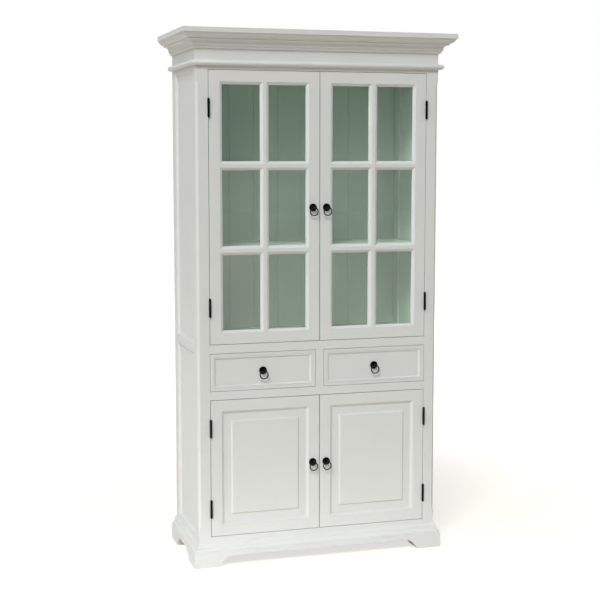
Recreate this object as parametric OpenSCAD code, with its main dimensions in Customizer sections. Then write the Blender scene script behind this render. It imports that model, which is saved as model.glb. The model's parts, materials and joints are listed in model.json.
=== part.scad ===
// Painted display cabinet: two glazed doors over two drawers over two panelled doors.
// Millimetres. +Z is up, the front faces -Y, and the origin is on the floor under the middle of the part.

/* [Overall] */
// Height from the floor to the top of the cornice
total_h = 2000; // [1800:10:2200]
// Width of the case across its sides, without mouldings
case_w = 950; // [840:10:1100]
// Depth of the case from its face frame to its back
case_d = 410; // [380:10:480]

/* [Heights of the front] */
// Height of the plinth boards
plinth_h = 57; // [52:1:70]
// Bottom rail that shows above the base moulding
bottom_rail_show = 18.5; // [14:0.5:40]
// Height of the lower door opening
lower_open_h = 522; // [420:1:600]
// Height of the rail between the lower doors and the drawers
drawer_rail_h = 31.5; // [28:0.5:45]
// Height of the drawer openings
drawer_open_h = 143; // [125:1:180]
// Height of the rail between the drawers and the glazed doors
waist_rail_h = 33; // [28:0.5:45]
// Top rail that shows under the bead
top_rail_show = 14; // [12:0.5:40]
// Plain frieze between the bead and the crown moulding
frieze_show = 40; // [20:0.5:80]

/* [Face frame and boards] */
// Width of the face frame's stiles
stile_show = 47; // [40:1:60]
// Width of the upright between the drawers
divider_w = 32; // [26:1:44]
// Thickness of the face frame, the doors and the drawer fronts
face_t = 22; // [20:1:28]
// Thickness of the framed sides
side_t = 22; // [20:1:28]
// Width of the side frames' stiles as the side shows them
side_stile_w = 57; // [54:1:80]
// Thickness of the floors and shelves
board_t = 18; // [15:1:22]
// Thickness of the back boards
back_t = 10; // [8:1:14]
// Number of tongued boards in the back
back_count = 9; // [6:1:12]
// Leg of the stopped chamfer on the front corners
chamfer = 9; // [4:0.5:12]
// Plain length of corner left at each end of the chamfer
chamfer_stop = 40; // [20:1:80]
// How far floors and ceilings stand into a door opening as the door's stop
stop_lap = 8; // [5:1:12]

/* [Mouldings] */
// Overhang of the plinth boards
plinth_out = 21; // [15:1:30]
// Thickness of the plinth boards
plinth_t = 30; // [26:1:40]
// Width of a front foot at the floor
foot_w = 97; // [80:1:140]
// Width of a side foot at the floor
side_foot_w = 110; // [80:1:120]
// Height of the arch between the feet
arch_h = 40.5; // [25:0.5:44]
// Run of the curve at each end of an arch
arch_run = 45; // [30:1:60]
// Radius of that curve
arch_r = 68; // [50:1:120]
// Height of the base moulding's lower edge
base_foot_h = 9.5; // [6:0.5:14]
// Height of each of its two slopes
base_slope_h = 8.5; // [5:0.5:12]
// Height of the flat between the slopes
base_flat_h = 10.5; // [6:0.5:16]
// Overhang of the base moulding's lower edge
base_out = 19; // [15:0.5:28]
// Overhang of the flat between the slopes
base_mid_out = 8; // [5:0.5:12]
// Height of the half-round bead under the frieze
bead_h = 19; // [14:1:28]
// Overhang of that bead
bead_out = 17.5; // [14.5:0.5:24]
// Height of the crown moulding's fascia
fascia_h = 18; // [12:1:30]
// Height of the crown's round under the fascia
ovolo_h = 18.5; // [14:0.5:26]
// Width of that round
ovolo_w = 20; // [14:0.5:28]
// Height of the crown's hollow
cove_h = 21; // [16:0.5:30]
// Width of that hollow
cove_w = 11; // [8:0.5:18]
// Height of the crown's lowest bead
foot_bead_h = 11; // [8:0.5:16]
// Overhang of the hollow's lower edge above that bead
foot_bead_w = 14; // [10:0.5:18]
// Small step between the crown's members
crown_step = 4.5; // [3:0.5:6]
// Ledge between the hollow and the round
crown_ledge = 7.5; // [4:0.5:10]
// How far the crown's round and hollow swell
crown_swell = 4; // [2:0.5:5]
// Thickness of the cornice's cover board
cover_t = 12; // [9:1:18]

/* [Doors] */
// Flat width of the doors' stiles and rails
door_member_w = 41.5; // [38:0.5:60]
// Flat width of a glazing bar
bar_w = 14; // [12:0.5:24]
// Width of the moulded inner edge of every frame
stick_w = 9.5; // [7:0.5:12]
// Depth of that edge, from the face to the glass or panel
stick_d = 9; // [7:0.5:10]
// Thickness left at the thin side of that edge
stick_nose = 1.5; // [1:0.5:3]
// Square step at the face side of that edge
stick_step = 0.8; // [0.5:0.1:2]
// Number of rows of panes
pane_rows = 3; // [2:1:4]
// Thickness of the glass
glass_t = 4; // [3:0.5:5]
// Width of the wooden beads behind the glass
glazing_bead_w = 8; // [5:0.5:9]
// Thickness of the framed panels at their edges
panel_t = 6; // [4:0.5:8]
// Depth of the grooves that hold the panels
groove_d = 7; // [5:0.5:9]
// Width of the sloping band round a raised field
band_w = 27; // [18:1:40]
// Rise of that band
band_rise = 1; // [0.5:0.5:2]
// Height of the step from the band to the field
field_step = 6; // [3:0.5:6.5]

/* [Drawers] */
// Flat border of a drawer front
drawer_border = 11; // [8:0.5:18]
// Quirk between the border and its bead
quirk = 1.4; // [1:0.2:2]
// Radius of the bead round the sunk panel
drawer_bead_r = 9; // [6:0.5:10]
// Depth of the sunk panel
drawer_sink = 6; // [4:0.5:8]
// Thickness of the drawer's sides and back
drawer_side_t = 12; // [10:1:16]
// Height of the drawer's sides and back
drawer_side_h = 95; // [70:1:110]
// Thickness of the drawer's bottom
drawer_bottom_t = 6; // [4:1:9]
// Length of the drawer's sides behind its front
drawer_len = 340; // [260:5:345]
// Width of the bearers under the drawers
bearer_w = 40; // [30:1:60]
// Height of the guides beside the drawers
guide_h = 30; // [15:1:50]

/* [Hinges] */
// Length of a hinge's leaves
hinge_h = 62; // [50:1:75]
// Radius of a hinge's barrel
barrel_r = 4.6; // [3.6:0.1:6]
// Radius of a hinge's pin
pin_r = 2; // [1.5:0.1:2.4]
// Thickness of a hinge leaf
leaf_t = 1.6; // [1.2:0.1:2]
// Width of a hinge leaf behind the face
leaf_w = 18; // [12:1:19]
// Height of the button at each end of a hinge pin
button_h = 5; // [4:0.5:8]
// Distance of a hinge's middle from the end of a glazed door
upper_hinge_inset = 137; // [90:1:200]
// Distance of a hinge's middle from the end of a panelled door
lower_hinge_inset = 105.5; // [80:0.5:150]

/* [Pulls, catches and shelf pins] */
// Radius of a pull's rosette
rosette_r = 15; // [12:0.5:18]
// Thickness of a pull's rosette
rosette_t = 3.6; // [2.5:0.1:5]
// Distance from the mounting face to the ring's pivot
eye_out = 16; // [14:0.5:22]
// Radius of the ball that holds the ring
eye_r = 6.3; // [5.5:0.1:7.5]
// Radius of the post behind the ball
post_r = 3.2; // [2.5:0.1:4]
// Radius of the post's threaded tail
tail_r = 2; // [1.5:0.1:2.4]
// Radius of the ring at the middle of its wire
ring_r = 15.2; // [13:0.1:18]
// Radius of the ring's wire
wire_r = 1.9; // [1.4:0.1:2.2]
// Length of a magnetic catch
catch_len = 40; // [30:1:60]
// Height of a magnetic catch
catch_h = 12; // [8:1:16]
// Depth of a magnetic catch
catch_d = 16; // [12:1:22]
// Thickness of a catch's strike plate
strike_t = 1.2; // [0.8:0.1:2]
// Radius of a shelf pin
shelf_pin_r = 2.5; // [2:0.1:3]
// Length of a shelf pin in the side and out of it
shelf_pin_len = 10; // [7:1:12]
// Distance from the face to the front edge of the shelves
shelf_setback = 36; // [35:1:38]

/* [Clearances] */
// Gap between a door and the frame at its hinge side
hinge_gap = 2; // [1.5:0.1:3]
// Gap between a door and the rails above and below it
edge_gap = 2; // [1.5:0.1:4]
// Gap between the two doors of a pair
meet_gap = 3; // [2.4:0.1:5]
// Gap round a drawer front
drawer_gap = 1.5; // [1:0.1:3]
// Gap between a closed door or drawer and what stops it
stop_gap = 0.4; // [0.3:0.1:0.8]
// Running gap under and beside a drawer
run_gap = 0.5; // [0.3:0.1:0.9]
// Glue line that parts two pieces of one frame
glue = 0.1; // [0.1:0.05:0.2]
// Play of glass and panels in their frames
play = 0.6; // [0.4:0.1:0.9]
// Radial clearance of a pin in its bore
pin_gap = 0.05; // [0.02:0.01:0.1]
// Gap between the knuckles of a hinge, and between barrel and face
knuckle_gap = 0.3; // [0.2:0.05:0.5]
// Gap between the two leaves of a closed hinge
leaf_gap = 0.2; // [0.1:0.05:0.4]

/* [Hidden] */
$fn = 48;
// Overshoot of a cut past the face it leaves
over = 1;

crown_out = foot_bead_w + cove_w + crown_ledge + ovolo_w + crown_step;
crown_h = foot_bead_h + cove_h + crown_step + ovolo_h + fascia_h;
base_h = base_foot_h + 2 * base_slope_h + base_flat_h;
front_y = (crown_out - case_d) / 2;

case_z0 = plinth_h;
lower_z0 = plinth_h + base_h + bottom_rail_show;
lower_z1 = lower_z0 + lower_open_h;
drawer_z0 = lower_z1 + drawer_rail_h;
drawer_z1 = drawer_z0 + drawer_open_h;
upper_z0 = drawer_z1 + waist_rail_h;
crown_z = total_h - crown_h;
case_z1 = crown_z - frieze_show;
bead_z = case_z1 - bead_h;
upper_z1 = bead_z - top_rail_show;
case_h = case_z1 - case_z0;
open_half = case_w / 2 - stile_show;
inner_half = case_w / 2 - side_t;
inner_back = case_d - back_t;

// Each framed side holds two panels, between these heights.
side_edges = [[lower_z0, drawer_z1], [upper_z0, upper_z1]];
side_x0 = side_stile_w;
side_x1 = case_d - side_stile_w;

door_t = face_t - stop_gap;
door_w = open_half - hinge_gap - meet_gap / 2;
door_x = -open_half + hinge_gap;
upper_door_z = upper_z0 + edge_gap;
upper_door_h = upper_z1 - upper_z0 - 2 * edge_gap;
lower_door_z = lower_z0 + edge_gap;
lower_door_h = lower_z1 - lower_z0 - 2 * edge_gap;
upper_inner_h = upper_door_h - 2 * door_member_w;
lower_inner_h = lower_door_h - 2 * door_member_w;
inner_w = door_w - 2 * door_member_w;
// A cell is a pane together with the moulded edges round it.
pane_cols = 2;
cell_w = (inner_w - (pane_cols - 1) * bar_w) / pane_cols;
cell_h = (upper_inner_h - (pane_rows - 1) * bar_w) / pane_rows;

ceiling_z = upper_z1 - stop_lap;
display_floor_z = upper_z0 + stop_lap - board_t;
deck_z = lower_z1 - stop_lap;
cupboard_floor_z = lower_z0 + stop_lap - board_t;
shelf_zs = concat(
    [lower_door_z + lower_door_h / 2 - board_t / 2],
    [for (i = [1 : pane_rows - 1])
        upper_door_z + door_member_w + i * (cell_h + bar_w) - bar_w / 2 - board_t / 2]
);
shelf_pin_ys = [shelf_setback + 2 * shelf_pin_r, inner_back - 8 * shelf_pin_r];

hinge_x = -open_half + hinge_gap / 2;
hinge_out = barrel_r + knuckle_gap;
knuckle_h = (hinge_h - 2 * knuckle_gap) / 3;
upper_hinge_zs = [
    upper_door_z + upper_hinge_inset, upper_door_z + upper_door_h - upper_hinge_inset
];
lower_hinge_zs = [
    lower_door_z + lower_hinge_inset, lower_door_z + lower_door_h - lower_hinge_inset
];
hinge_zs = concat(upper_hinge_zs, lower_hinge_zs);

drawer_w = open_half - divider_w / 2 - 2 * drawer_gap;
drawer_front_h = drawer_open_h - 2 * drawer_gap;
drawer_x = -(open_half + divider_w / 2) / 2;
drawer_z = (drawer_z0 + drawer_z1) / 2;
box_w = drawer_w - 2 * run_gap;

door_pull_x = -meet_gap / 2 - (door_member_w + stick_w) / 2;
upper_pull_z = upper_door_z + upper_door_h / 2;
lower_pull_z = lower_door_z + lower_door_h / 2;
ring_sag = ring_r - sqrt(ring_r * ring_r - eye_r * eye_r);
eye_bore_r = wire_r + ring_sag / 2 + knuckle_gap;
nut_r = 2 * tail_r;
nut_t = 1.6 * tail_r;

paint = [0.83, 0.83, 0.81];
inside_paint = [0.80, 0.82, 0.78];
bare_wood = [0.72, 0.58, 0.40];
iron = [0.05, 0.05, 0.05];
steel = [0.62, 0.62, 0.62];
glass_tint = [0.75, 0.85, 0.78, 0.4];

// Points on an arc from p to q whose middle bulges by sag to the left of the way from p to q.
function arc(p, q, sag, steps = 8) =
    let (
        chord = q - p,
        half = norm(chord) / 2,
        left = [-chord[1], chord[0]] / (2 * half),
        r = (half * half + sag * sag) / (2 * sag),
        centre = (p + q) / 2 + left * (sag - r),
        start = p - centre,
        turn = -2 * asin(half / r)
    )
    [for (i = [0 : steps])
        let (a = turn * i / steps)
        centre + [start[0] * cos(a) - start[1] * sin(a), start[0] * sin(a) + start[1] * cos(a)]];

// Moves a piece measured from the face frame's front into the part's own frame.
// Paired pieces are drawn at the left, and right mirrors them.
module placed(right = false) {
    translate([0, front_y, 0])
        mirror([right ? 1 : 0, 0, 0])
            children();
}

// Its children and their mirror image.
module both(axis) {
    children();
    mirror(axis)
        children();
}

// A moulding along X. Its 2D profile's x becomes Z and its y becomes Y.
// Each end is cut on a slope: 1 grows outwards as a mitre, 0 is square, -1 shrinks inwards.
module mitred(len, reach, start, end) {
    intersection() {
        rotate([0, -90, 0])
            linear_extrude(len + 2 * reach, center = true)
                children();
        rotate([90, 0, 0])
            linear_extrude(2 * len, center = true)
                polygon([
                    [-len / 2, 0], [len / 2, 0],
                    [len / 2 + end * reach, reach], [-len / 2 - start * reach, reach]
                ]);
    }
}

// Four mitred lengths round the inside of a rectangle in the XZ plane, with its middle at the origin.
module mitred_ring(w, h, reach) {
    both([0, 0, 1])
        translate([0, 0, -h / 2])
            mitred(w, reach, -1, -1)
                children();
    both([1, 0, 0])
        translate([-w / 2, 0, 0])
            rotate([0, 90, 0])
                mitred(h, reach, -1, -1)
                    children();
}

// Three lengths round the front and both sides of the case, mitred at the front corners.
// The profile's x points out of the case and its y points up, from a line set in by inset.
module wrapped(reach, inset = 0) {
    translate([0, inset, 0])
        rotate([90, 0, 0])
            mitred(case_w - 2 * inset - 2 * glue, reach, 1, 1)
                children();
    both([1, 0, 0])
        translate([-case_w / 2 + inset, (case_d + inset) / 2, 0])
            rotate([0, 0, -90])
                rotate([90, 0, 0])
                    mitred(case_d - inset, reach, 0, 1)
                        children();
}

// The bevelled inner edge that every stile, rail and glazing bar carries.
module sticking(len) {
    mitred(len, stick_w, -1, -1)
        polygon([[0, stick_step], [stick_w, stick_d - stick_nose], [stick_w, stick_d], [0, stick_d]]);
}

// Side frame: two stiles and three rails, grooved for the panels and bored for the shelf pins.
module side_frame(right) {
    color(paint)
        placed(right)
            difference() {
                translate([-case_w / 2, 0, 0])
                    mirror([1, 0, 0])
                        rotate([0, 0, 90])
                            difference() {
                                side_members();
                                side_grooves();
                            }
                shelf_pin_holes();
            }
}

// The side's members flat in the XZ plane: x runs from the face to the back and y into the case.
module side_members() {
    translate([face_t + glue, 0, case_z0])
        cube([side_x0 - face_t - glue, side_t, case_h]);
    translate([side_x1, 0, case_z0])
        cube([side_stile_w, side_t, case_h]);
    for (edge = side_edges)
        translate([case_d / 2, 0, (edge[0] + edge[1]) / 2])
            both([1, 0, 0])
                translate([(side_x0 - side_x1) / 2, 0, 0])
                    rotate([0, 90, 0])
                        sticking(edge[1] - edge[0] - 2 * glue);
    side_rail(case_z0, lower_z0, [0]);
    side_rail(drawer_z1, upper_z0, [0, 1]);
    side_rail(upper_z1, case_z1, [1]);
}

// A rail between two heights, with a moulded edge above (0) or below (1) it.
module side_rail(z0, z1, moulded) {
    len = side_x1 - side_x0 - 2 * glue;
    translate([case_d / 2, 0, (z0 + z1) / 2]) {
        translate([-len / 2, 0, (z0 - z1) / 2])
            cube([len, side_t, z1 - z0]);
        for (down = moulded)
            mirror([0, 0, down])
                translate([0, 0, (z1 - z0) / 2])
                    sticking(len);
    }
}

module side_grooves() {
    for (edge = side_edges)
        translate([side_x0 - groove_d, stick_d, edge[0] - groove_d])
            cube([side_x1 - side_x0 + 2 * groove_d, panel_t, edge[1] - edge[0] + 2 * groove_d]);
}

module shelf_pin_holes() {
    for (z = shelf_zs, y = shelf_pin_ys)
        translate([-inner_half + over, y, z - shelf_pin_r])
            rotate([0, -90, 0])
                cylinder(r = shelf_pin_r + pin_gap, h = shelf_pin_len + over);
}

module side_panels() {
    lap = groove_d - play;
    color(paint)
        placed()
            both([1, 0, 0])
                for (edge = side_edges)
                    translate([-case_w / 2 + stick_d, side_x0 - lap, edge[0] - lap])
                        cube([panel_t, side_x1 - side_x0 + 2 * lap, edge[1] - edge[0] + 2 * lap]);
}

// Face frame: two stiles with stopped chamfers, four rails and the upright between the drawers.
module face_frame() {
    rail_w = 2 * (open_half - glue);
    rails = [[case_z0, lower_z0], [lower_z1, drawer_z0], [drawer_z1, upper_z0], [upper_z1, case_z1]];
    color(paint)
        placed() {
            both([1, 0, 0])
                face_stile();
            for (rail = rails)
                translate([-rail_w / 2, 0, rail[0]])
                    cube([rail_w, face_t, rail[1] - rail[0]]);
            translate([-divider_w / 2, 0, drawer_z0 + glue])
                cube([divider_w, face_t, drawer_open_h - 2 * glue]);
        }
}

module face_stile() {
    difference() {
        translate([-case_w / 2, 0, case_z0])
            cube([stile_show, face_t, case_h]);
        stopped_chamfer(plinth_h + base_h + chamfer_stop, bead_z - chamfer_stop);
        for (z = hinge_zs)
            translate([hinge_x - leaf_gap / 2 - leaf_t, -over, z - hinge_h / 2])
                cube([leaf_t + leaf_gap, leaf_w + over, hinge_h]);
    }
}

// A chamfer on the left front corner that runs out in a slope at both ends.
module stopped_chamfer(z0, z1) {
    cut = chamfer / sqrt(2);
    run = 2 * chamfer;
    translate([-case_w / 2, 0, 0])
        rotate([0, 0, 45])
            rotate([90, 0, 0])
                linear_extrude(4 * chamfer, center = true)
                    polygon([
                        [-cut, z0], [0, z0], [cut, z0 + run],
                        [cut, z1 - run], [0, z1], [-cut, z1]
                    ]);
}

// Vertical boards with tongues, grooves and a V joint on the inside face.
module back_boards() {
    pitch = 2 * inner_half / back_count;
    color(inside_paint)
        placed()
            for (i = [0 : back_count - 1])
                translate([-inner_half + i * pitch + glue / 2, inner_back, case_z0])
                    linear_extrude(case_h)
                        back_board_profile(pitch - glue, i > 0, i < back_count - 1);
}

module back_board_profile(w, grooved, tongued) {
    vee = back_t / 4;
    tongue = back_t / 3;
    difference() {
        union() {
            polygon([[vee, 0], [w - vee, 0], [w, vee], [w, back_t], [0, back_t], [0, vee]]);
            if (tongued)
                translate([w - tongue, (back_t - tongue) / 2])
                    square([2 * tongue, tongue]);
        }
        if (grooved)
            translate([-over, (back_t - tongue) / 2 - glue])
                square([over + tongue + play, tongue + 2 * glue]);
    }
}

// A board across the inside of the case.
module cross_board(z) {
    translate([-inner_half, face_t, z])
        cube([2 * inner_half, inner_back - face_t, board_t]);
}

module display_ceiling() {
    color(inside_paint)
        placed()
            cross_board(ceiling_z);
}

module display_floor() {
    color(inside_paint)
        placed()
            cross_board(display_floor_z);
}

module drawer_deck() {
    color(bare_wood)
        placed()
            cross_board(deck_z);
}

module cupboard_floor() {
    color(inside_paint)
        placed()
            cross_board(cupboard_floor_z);
}

module shelves() {
    color(inside_paint)
        placed()
            for (z = shelf_zs)
                translate([-inner_half + play, shelf_setback, z])
                    cube([2 * (inner_half - play), inner_back - play - shelf_setback, board_t]);
}

module shelf_pins() {
    color(steel)
        placed()
            both([1, 0, 0])
                for (z = shelf_zs, y = shelf_pin_ys)
                    translate([-inner_half - shelf_pin_len + play, y, z - shelf_pin_r])
                        rotate([0, 90, 0])
                            cylinder(r = shelf_pin_r, h = 2 * shelf_pin_len);
}

// The boards behind the crown moulding, flush with the case.
module frieze_boards() {
    board_h = total_h - cover_t - case_z1;
    back_w = case_w - 2 * face_t - 2 * glue;
    color(paint)
        placed()
            translate([0, 0, case_z1]) {
                wrapped(face_t, face_t)
                    square([face_t, board_h]);
                translate([-back_w / 2, case_d - face_t, 0])
                    cube([back_w, face_t, board_h]);
            }
}

module bead_moulding() {
    nose = bead_h / 2;
    color(paint)
        placed()
            translate([0, 0, bead_z])
                wrapped(bead_out) {
                    square([bead_out - nose, bead_h]);
                    translate([bead_out - nose, nose])
                        intersection() {
                            circle(nose);
                            translate([0, -nose])
                                square(bead_h);
                        }
                }
}

// Bead, hollow, ledge, round and fascia, from the frieze up, with a shadow step between each two.
module crown_moulding() {
    bead_x = foot_bead_w - crown_step;
    cove_x = foot_bead_w + cove_w;
    cove_z = foot_bead_h + cove_h;
    ovolo_x = cove_x + crown_ledge;
    ovolo_z = cove_z + crown_step;
    color(paint)
        placed()
            translate([0, 0, crown_z])
                wrapped(crown_out)
                    polygon(concat(
                        [[0, 0]],
                        arc([bead_x / 4, 0], [bead_x, 3 * foot_bead_h / 4], -crown_swell / 2),
                        [[bead_x, foot_bead_h]],
                        arc([foot_bead_w, foot_bead_h], [cove_x, cove_z], crown_swell),
                        [[ovolo_x, cove_z]],
                        arc([ovolo_x, ovolo_z], [ovolo_x + ovolo_w, ovolo_z + ovolo_h], -crown_swell),
                        [[crown_out, ovolo_z + ovolo_h], [crown_out, crown_h], [0, crown_h]]
                    ));
}

module cornice_cover() {
    color(paint)
        placed()
            translate([-case_w / 2, 0, total_h - cover_t])
                cube([case_w, case_d, cover_t]);
}

module base_moulding() {
    flat_z = base_foot_h + base_slope_h;
    bulge = base_slope_h / 7;
    color(paint)
        placed()
            translate([0, 0, plinth_h])
                wrapped(base_out)
                    polygon(concat(
                        [[0, 0], [base_out, 0]],
                        arc([base_out, base_foot_h], [base_mid_out, flat_z], -bulge),
                        arc([base_mid_out, flat_z + base_flat_h], [0, base_h], -bulge)
                    ));
}

// Front, side and back boards, cut out between the feet.
module plinth_boards() {
    inset = plinth_t - plinth_out;
    back_w = case_w - 2 * inset - 2 * glue;
    color(paint)
        placed()
            difference() {
                union() {
                    wrapped(plinth_t, inset)
                        square([plinth_t, plinth_h]);
                    translate([-back_w / 2, case_d - plinth_t, 0])
                        cube([back_w, plinth_t, plinth_h]);
                }
                rotate([90, 0, 0])
                    linear_extrude(4 * case_d, center = true)
                        arch_profile(case_w + 2 * plinth_out - 2 * foot_w);
                translate([0, (case_d - plinth_out) / 2, 0])
                    rotate([90, 0, 90])
                        linear_extrude(4 * case_w, center = true)
                            arch_profile(case_d + plinth_out - 2 * side_foot_w);
            }
}

// The opening between two feet, from the floor up, with its middle at x = 0.
module arch_profile(span) {
    chord = norm([arch_run, arch_h]);
    drop = sqrt(arch_r * arch_r - chord * chord / 4);
    centre = [arch_run / 2 + arch_h / chord * drop, arch_h / 2 - arch_run / chord * drop];
    translate([-span / 2 + arch_run, -over])
        square([span - 2 * arch_run, arch_h + over]);
    both([1, 0])
        translate([-span / 2, 0])
            intersection() {
                translate(centre)
                    circle(arch_r, $fn = 96);
                translate([-over, -over])
                    square([arch_run + 2 * over, arch_h + over]);
            }
}

// Blocks that stand in the corners of the plinth and carry the case.
module corner_blocks() {
    inset = plinth_t - plinth_out;
    block = foot_w - plinth_t - over;
    color(paint)
        placed()
            both([1, 0, 0])
                for (y = [inset, case_d - plinth_t - block])
                    translate([-case_w / 2 + inset, y, 0])
                        cube([block, block, plinth_h]);
}

// Bearers under the drawers, guides beside them and the blocks that stop them.
module drawer_runners() {
    bearer_z = deck_z + board_t;
    guide_z = drawer_z0;
    bearer_h = guide_z - bearer_z - glue;
    len = inner_back - face_t;
    guide_in = -drawer_x - box_w / 2 - run_gap;
    guide_out = -drawer_x + box_w / 2 + run_gap;
    stop_len = inner_back - face_t - drawer_len - stop_gap;
    color(bare_wood)
        placed() {
            translate([-guide_in - bearer_w / 2, face_t, bearer_z])
                cube([2 * guide_in + bearer_w, len, bearer_h]);
            translate([-guide_in, face_t, guide_z])
                cube([2 * guide_in, len, guide_h]);
            both([1, 0, 0]) {
                translate([-inner_half, face_t, bearer_z])
                    cube([inner_half - guide_out + bearer_w / 2, len, bearer_h]);
                translate([-inner_half, face_t, guide_z])
                    cube([inner_half - guide_out, len, guide_h]);
                translate([-guide_out + glue, inner_back - stop_len, guide_z])
                    cube([bearer_w / 2 - glue, stop_len, guide_h]);
            }
        }
}

// A hinge leaf about its pin's axis, on the +x side, with the knuckles that are listed.
module hinge_leaf(knuckles) {
    pitch = knuckle_h + knuckle_gap;
    difference() {
        union() {
            for (k = knuckles)
                translate([0, 0, k * pitch - hinge_h / 2]) {
                    knuckle();
                    translate([leaf_gap / 2, 0, 0])
                        cube([leaf_t, hinge_out + over, knuckle_h]);
                }
            translate([leaf_gap / 2, hinge_out, -hinge_h / 2])
                cube([leaf_t, leaf_w, hinge_h]);
        }
        cylinder(r = pin_r + pin_gap, h = 2 * hinge_h, center = true);
    }
}

// One knuckle with its edges eased, standing on z = 0.
module knuckle() {
    ease = barrel_r / 8;
    rotate_extrude()
        polygon([[0, 0], [barrel_r - ease, 0], [barrel_r, ease], [barrel_r, knuckle_h - ease],
            [barrel_r - ease, knuckle_h], [0, knuckle_h]]);
}

// The frame's leaves hold the outer knuckles.
module hinge_frame_leaves() {
    color(iron)
        placed()
            both([1, 0, 0])
                for (z = hinge_zs)
                    translate([hinge_x, -hinge_out, z])
                        mirror([1, 0, 0])
                            hinge_leaf([0, 2]);
}

// The door's leaves hold the middle knuckle.
module door_hinges(zs, right) {
    color(iron)
        placed(right)
            for (z = zs)
                translate([hinge_x, -hinge_out, z])
                    hinge_leaf([1]);
}

// Loose pins with a turned button at each end.
module hinge_pins() {
    color(iron)
        placed()
            both([1, 0, 0])
                for (z = hinge_zs)
                    translate([hinge_x, -hinge_out, z])
                        rotate_extrude()
                            both([0, 1])
                                half_pin_profile();
}

// The pin, and the domed button that rests on its last knuckle.
module half_pin_profile() {
    dome_r = min(0.95 * barrel_r, 0.9 * button_h);
    square([pin_r, hinge_h / 2 + button_h - dome_r]);
    translate([0, hinge_h / 2])
        square([dome_r, button_h - dome_r]);
    translate([0, hinge_h / 2 + button_h - dome_r])
        intersection() {
            circle(dome_r);
            square(dome_r);
        }
}

// Magnetic catches under the display ceiling and under the drawer deck.
module door_catches() {
    color(steel)
        placed()
            both([1, 0, 0])
                for (z = [ceiling_z, deck_z])
                    translate([door_pull_x - catch_len, door_t + strike_t + stop_gap, z - catch_h])
                        cube([catch_len, catch_d, catch_h]);
}

// The plate on the back of a door that its catch holds.
module door_strike(z, right) {
    color(steel)
        placed(right)
            translate([door_pull_x - catch_len, door_t, z - catch_h + over])
                cube([catch_len, strike_t, catch_h - 2 * over]);
}

// A door's two stiles and two rails, cut for its hinge leaves and the pull's bolt.
module door_frame(z, h, zs, cols, rows, right) {
    color(paint)
        placed(right)
            difference() {
                translate([door_x + door_w / 2, 0, z + h / 2])
                    door_members(h, cols, rows);
                for (hinge_z = zs)
                    translate([hinge_x, -over, hinge_z - hinge_h / 2])
                        cube([leaf_gap / 2 + leaf_t, leaf_w + over, hinge_h]);
                translate([door_pull_x, 0, z + h / 2])
                    pull_hole();
            }
}

// The moulded edges stop at the glazing bars, and a door of one cell is grooved for its panel.
module door_members(h, cols, rows) {
    inner_h = h - 2 * door_member_w;
    difference() {
        union() {
            both([0, 0, 1])
                translate([0, 0, -inner_h / 2])
                    member(inner_w - 2 * glue, inner_w, cols);
            both([1, 0, 0])
                translate([-inner_w / 2, 0, 0])
                    rotate([0, 90, 0])
                        member(h, inner_h, rows);
        }
        if (cols * rows == 1)
            translate([-inner_w / 2 - groove_d, stick_d, -inner_h / 2 - groove_d])
                cube([inner_w + 2 * groove_d, panel_t, inner_h + 2 * groove_d]);
    }
}

// A stile or rail along X: its flat lies under z = 0, and one moulded edge for each cell above.
module member(len, inner_len, cells) {
    cell = (inner_len - (cells - 1) * bar_w) / cells;
    translate([-len / 2, 0, -door_member_w])
        cube([len, door_t, door_member_w]);
    for (i = [0 : cells - 1])
        translate([(i - (cells - 1) / 2) * (cell + bar_w), 0, 0])
            sticking(cell - 2 * glue);
}

// One upright bar with the short bars between it and the stiles.
module glazing_bars(right) {
    color(paint)
        placed(right)
            translate([door_x + door_w / 2, 0, upper_door_z + door_member_w]) {
                translate([-bar_w / 2, 0, glue])
                    cube([bar_w, door_t, upper_inner_h - 2 * glue]);
                both([1, 0, 0]) {
                    for (row = [0 : pane_rows - 1])
                        translate([bar_w / 2, 0, row * (cell_h + bar_w) + cell_h / 2])
                            rotate([0, 90, 0])
                                sticking(cell_h - 2 * glue);
                    for (row = [1 : pane_rows - 1])
                        translate([(bar_w + cell_w) / 2, 0, row * (cell_h + bar_w) - bar_w / 2])
                            short_bar(cell_w - 2 * glue);
                }
            }
}

module short_bar(len) {
    translate([-len / 2, 0, -bar_w / 2])
        cube([len, door_t, bar_w]);
    both([0, 0, 1])
        translate([0, 0, bar_w / 2])
            sticking(len);
}

// Draws its children in each cell of the left door, from the cell's lower left corner.
module each_cell() {
    for (row = [0 : pane_rows - 1], col = [0 : pane_cols - 1])
        translate([
            door_x + door_member_w + col * (cell_w + bar_w), stick_d,
            upper_door_z + door_member_w + row * (cell_h + bar_w)
        ])
            children();
}

module door_glass(right) {
    color(glass_tint)
        placed(right)
            each_cell()
                translate([play, 0, play])
                    cube([cell_w - 2 * play, glass_t, cell_h - 2 * play]);
}

// The wooden frames that hold the panes from behind.
module glazing_beads(right) {
    depth = door_t - stick_d - glass_t - stick_nose;
    color(paint)
        placed(right)
            each_cell()
                translate([0, glass_t + depth, 0])
                    rotate([90, 0, 0])
                        linear_extrude(depth)
                            difference() {
                                translate([glue, glue])
                                    square([cell_w - 2 * glue, cell_h - 2 * glue]);
                                translate([glazing_bead_w, glazing_bead_w])
                                    square([cell_w - 2 * glazing_bead_w, cell_h - 2 * glazing_bead_w]);
                            }
}

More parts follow.
